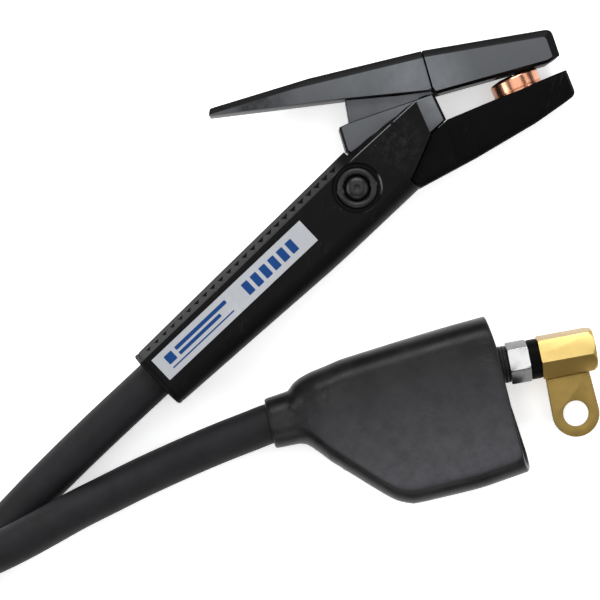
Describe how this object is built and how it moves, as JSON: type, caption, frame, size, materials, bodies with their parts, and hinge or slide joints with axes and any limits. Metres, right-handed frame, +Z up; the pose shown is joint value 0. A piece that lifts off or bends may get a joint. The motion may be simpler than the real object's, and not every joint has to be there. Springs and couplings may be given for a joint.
{
  "type": "air carbon-arc gouging torch",
  "caption": "Air carbon-arc gouging torch lying on its side, with squeeze lever, swivel head, push-button air valve, coiled cable, rubber boot and brass power and air connector.",
  "frame": {"origin": "centre of the torch's bounding box on the surface it lies on, without the cable and what is on it", "axes": "+X along the handle towards the jaws, +Y towards the squeeze lever, +Z up, out of the side with the valve button"},
  "size_m": [0.776, 0.2915, 0.049],
  "materials": {
    "black_nylon": "satin moulding, dark grey-black",
    "grey_nylon": "satin charcoal grey moulding",
    "boot_rubber": "satin black rubber with scuffs",
    "seal_rubber": "smooth",
    "cable_jacket": "matte",
    "brass": "machined, lightly brushed",
    "copper": "turned copper",
    "steel": "machined",
    "zinc": "bright zinc plate",
    "label": "printed satin film",
    "strap": "woven webbing"
  },
  "bodies": {
    "torch": {"body_casting": "brass", "brass_block": "brass", "cable_boot_run": "cable_jacket", "cable_coil": "cable_jacket", "cable_ferrule": "brass", "cable_torch_run": "cable_jacket", "coil_tie_left": "strap", "coil_tie_right": "strap", "handle_screw_front": "steel", "handle_screw_rear": "steel", "handle_shell": "black_nylon", "head_washer": "steel", "hex_nut": "zinc", "hinge_pin": "steel", "label_plate": "label", "lower_insulator": "black_nylon", "lower_insulator_screw": "steel", "lug_tab": "brass", "main_spring": "steel", "spacer_collar": "black_nylon", "spring_housing": "grey_nylon", "spring_seat": "steel", "stub_sleeve": "boot_rubber", "valve_plug": "black_nylon", "valve_retaining_ring": "black_nylon", "valve_sleeve": "brass", "valve_spring": "steel"},
    "lever": {"lever_grip": "grey_nylon", "lever_skirt": "grey_nylon", "upper_arm": "copper", "upper_insulator": "grey_nylon", "upper_insulator_screw": "steel"},
    "swivel": {"swivel_head": "copper", "head_screw": "steel"},
    "valve": {"valve_button": "black_nylon", "valve_spool": "steel", "valve_o_ring_lower": "seal_rubber", "valve_o_ring_upper": "seal_rubber"},
    "boot_cover": {"boot": "boot_rubber"}
  },
  "joints": [
    {"name": "lever_pivot", "type": "hinge", "parent": "torch", "child": "lever", "pos_m": [0.0671, -0.0146, 0.018], "axis": [0, 0, 1], "range_deg": [0, 15], "stiffness_Nm_per_rad": 8, "springref_deg": -22.92, "deforming": ["main_spring"]},
    {"name": "head_swivel", "type": "hinge", "parent": "torch", "child": "swivel", "pos_m": [0.111, -0.04413, 0.018], "axis": [0.3355, 0.9421, 0], "range_deg": [-90, 90]},
    {"name": "valve_press", "type": "slide", "parent": "torch", "child": "valve", "axis": [0, 0, -1], "range_m": [0, 0.004], "stiffness_N_per_m": 800, "springref_m": -0.006, "deforming": ["valve_spring"]},
    {"name": "boot_slide", "type": "slide", "parent": "torch", "child": "boot_cover", "axis": [0.8669, -0.4985, 0], "range_m": [0, 0.055]}
  ]
}
